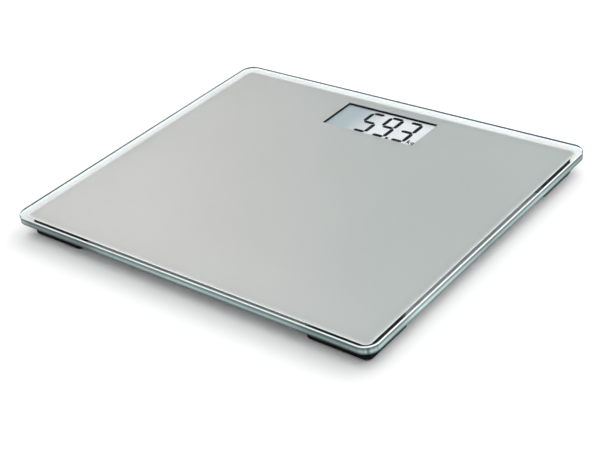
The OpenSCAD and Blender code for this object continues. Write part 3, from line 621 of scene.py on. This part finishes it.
def bands(levels, count):
    """Faces between each pair of levels of count points."""
    return [(a * count + k, a * count + (k + 1) % count, b * count + (k + 1) % count, b * count + k)
            for a, b in levels for k in range(count)]


def slab(name, low, high, radius, profile, material, steps):
    """A closed body with the outline of a box. Flat faces close both ends of the profile."""
    count = 4 * (steps + 1)
    top = len(profile) - 1
    faces = bands([(level, level + 1) for level in range(top)], count)
    faces.append(tuple(range(count))[::-1])
    faces.append(tuple(range(top * count, (top + 1) * count)))
    return mesh_object(name, outlines(low, high, radius, profile, steps), faces, material, True)


def ring(name, low, high, radius, section, material, steps):
    """A closed ring along the outline of a box, whose section is a closed profile."""
    levels = len(section)
    faces = bands([(level, (level + 1) % levels) for level in range(levels)], 4 * (steps + 1))
    return mesh_object(name, outlines(low, high, radius, section, steps), faces, material, False)


# ---------------------------------------------------------------- pieces

GLASS_CORNER_R = 10.0 * MM
GLASS_CORNER_STEPS = 20
GLASS_CHAMFER = 0.65 * MM
GLASS_ARRIS = 0.4 * MM
EDGE_EASE = 0.12 * MM
EDGE_SKIN = 0.03 * MM
FILM_SINK = 0.02 * MM
MOULDING_EASE = 0.15 * MM
WELD_REACH = 0.001 * MM
SHARP_ANGLE = math.radians(50)
EASED_NODES = [part + corner for part in ("foot_housing_", "rubber_pad_", "wire_duct_")
               for corner in CORNERS]
EASED_NODES += ["electronics_housing", "battery_door", "unit_button"]


def edge_profile(low, high, shrink):
    """Lower arris, side and chamfer of the glass as (inset, z) points, shrunk inwards."""
    corner = shrink * (math.sqrt(2) - 1)
    return [(GLASS_ARRIS + corner, low), (shrink, low + GLASS_ARRIS - corner),
            (shrink, high - GLASS_CHAMFER + corner), (GLASS_CHAMFER + corner, high)]


def glass_piece(material):
    """The platform. It reaches a hair below the film's face, so that print and glass are one."""
    low = GLASS_LOW.z - FILM_SINK
    high = GLASS_HIGH.z
    flat = 2 * GLASS_CHAMFER
    profile = eased([(flat, low), *edge_profile(low, high, EDGE_SKIN / 2), (flat, high)], EDGE_EASE)
    glass = slab("glass_platform_polished", GLASS_LOW, GLASS_HIGH, GLASS_CORNER_R, profile,
                 material, GLASS_CORNER_STEPS)
    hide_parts("glass_platform")
    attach(glass, "root")


def glass_edge_piece(material, inside):
    """The ground edge, a skin over chamfer, side and lower arris. Its inner face lies in the glass
    and has a painted glow that stands in for daylight through a ground edge."""
    outer = edge_profile(GLASS_LOW.z, GLASS_HIGH.z, 0.0)
    inner = edge_profile(GLASS_LOW.z, GLASS_HIGH.z, EDGE_SKIN)
    section = outer + inner[::-1]
    edge = ring("glass_platform_edge", GLASS_LOW, GLASS_HIGH, GLASS_CORNER_R, section, material,
                GLASS_CORNER_STEPS)
    edge.data.materials.append(inside)
    per_level = len(edge.data.polygons) // len(section)
    for polygon in edge.data.polygons[len(outer) * per_level:(len(section) - 1) * per_level]:
        polygon.material_index = 1
    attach(edge, "root")


def colour_wires(mesh, materials):
    """One material for each separate wire, in order of its inner end, from front to back."""
    place = {}
    owner = [place.setdefault(tuple(round(c, 6) for c in vertex.co), k)
             for k, vertex in enumerate(mesh.vertices)]

    def root(k):
        while owner[k] != k:
            owner[k] = owner[owner[k]]
            k = owner[k]
        return k

    for edge in mesh.edges:
        owner[root(edge.vertices[0])] = root(edge.vertices[1])
    end = {}
    for k, vertex in enumerate(mesh.vertices):
        here = (abs(vertex.co.x), vertex.co.y)
        end[root(k)] = min(end.get(root(k), here), here)
    order = sorted(end, key=lambda wire: end[wire][1])
    mesh.materials.clear()
    for material in materials:
        mesh.materials.append(material)
    for polygon in mesh.polygons:
        polygon.material_index = order.index(root(polygon.vertices[0]))


def ease_edges(node):
    """A small moulding radius on every sharp edge, once the faces are joined."""
    join = node.modifiers.new("joined_faces", "WELD")
    join.merge_threshold = WELD_REACH
    ease = node.modifiers.new("eased_edges", "BEVEL")
    ease.width = MOULDING_EASE
    ease.segments = 2
    ease.limit_method = "ANGLE"
    ease.angle_limit = SHARP_ANGLE
    ease.harden_normals = True


def dress_nodes():
    """A material for each CAD node, by what it is made of."""
    black = plastic_material("black_plastic", srgb(13, 13, 14), gloss=0.06)
    button = plastic_material("button_plastic", srgb(62, 64, 68), 0.45)
    dark = plastic_material("dark_plastic", srgb(38, 39, 42), 0.55)
    tray = plastic_material("tray_plastic", srgb(27, 27, 29), gloss=0.3)
    door = plastic_material("door_plastic", srgb(34, 35, 37), 0.42, gloss=0.35)
    board = plastic_material("solder_mask", srgb(34, 104, 58), 0.3, 0.01 * MM)
    chip = plastic_material("chip_epoxy", srgb(30, 30, 31), 0.4)
    parts = plastic_material("component_body", srgb(210, 196, 160), 0.4)
    zebra = plastic_material("zebra_rubber", srgb(196, 120, 120), 0.6)
    guide = plastic_material("light_guide", srgb(238, 241, 242), 0.2, 0.005 * MM)
    steel = metal_material("plate_steel", srgb(196, 198, 200), stretch=(1, 8, 1))
    screw = metal_material("screw_steel", srgb(206, 207, 209), 0.22)
    nickel = metal_material("contact_nickel", srgb(212, 208, 196), 0.2)
    foil = metal_material("gauge_foil", srgb(205, 160, 90), 0.35)
    rubber = rubber_material()
    foam = foam_material()
    wires = [plastic_material("wire_insulation_" + name, tone, 0.45)
             for name, tone in (("red", srgb(176, 42, 44)), ("white", srgb(226, 224, 218)),
                                ("black", srgb(26, 26, 28)))]
    finish = {
        "silver_film": film_material(), "window_gasket": foam, "display_frame": black,
        "lcd_panel": lcd_material(), "lcd_segments": ink_material(), "lcd_backlight": guide,
        "zebra_strips": zebra, "main_board": board, "controller_chip": chip,
        "board_components": parts, "board_screws": screw, "unit_switch": dark,
        "unit_button": button, "electronics_housing": tray, "housing_tape": foam,
        "coin_cell": nickel, "battery_contact_positive": nickel,
        "battery_contact_negative": nickel, "battery_door": door, "strain_gauges": foil,
        "retainer_screws": screw,
    }
    per_corner = {"foot_housing_": black, "foot_tape_": foam, "load_cell_": steel,
                  "cell_retainer_": dark, "foot_pedestal_": black, "rubber_pad_": rubber,
                  "wire_duct_": tray}
    for start, material in per_corner.items():
        for corner in CORNERS:
            finish[start + corner] = material
    for name, material in finish.items():
        mesh = NODES[name].data
        mesh.materials.clear()
        mesh.materials.append(material)
    for corner in CORNERS:
        colour_wires(NODES["wire_harness_" + corner].data, wires)
    for name in EASED_NODES:
        ease_edges(NODES[name])


def add_floor():
    bpy.ops.mesh.primitive_plane_add(size=FLOOR_SIZE, location=(0, 0, 0))
    floor = bpy.context.object
    floor.name = "studio_floor"
    floor.data.materials.append(floor_material())


def build():
    bpy.context.scene.view_settings.view_transform = "Standard"
    add_camera()
    add_world()
    add_lights()
    add_floor()
    glass_piece(glass_material())
    glass_edge_piece(edge_material(), edge_inside_material())
    dress_nodes()


build()
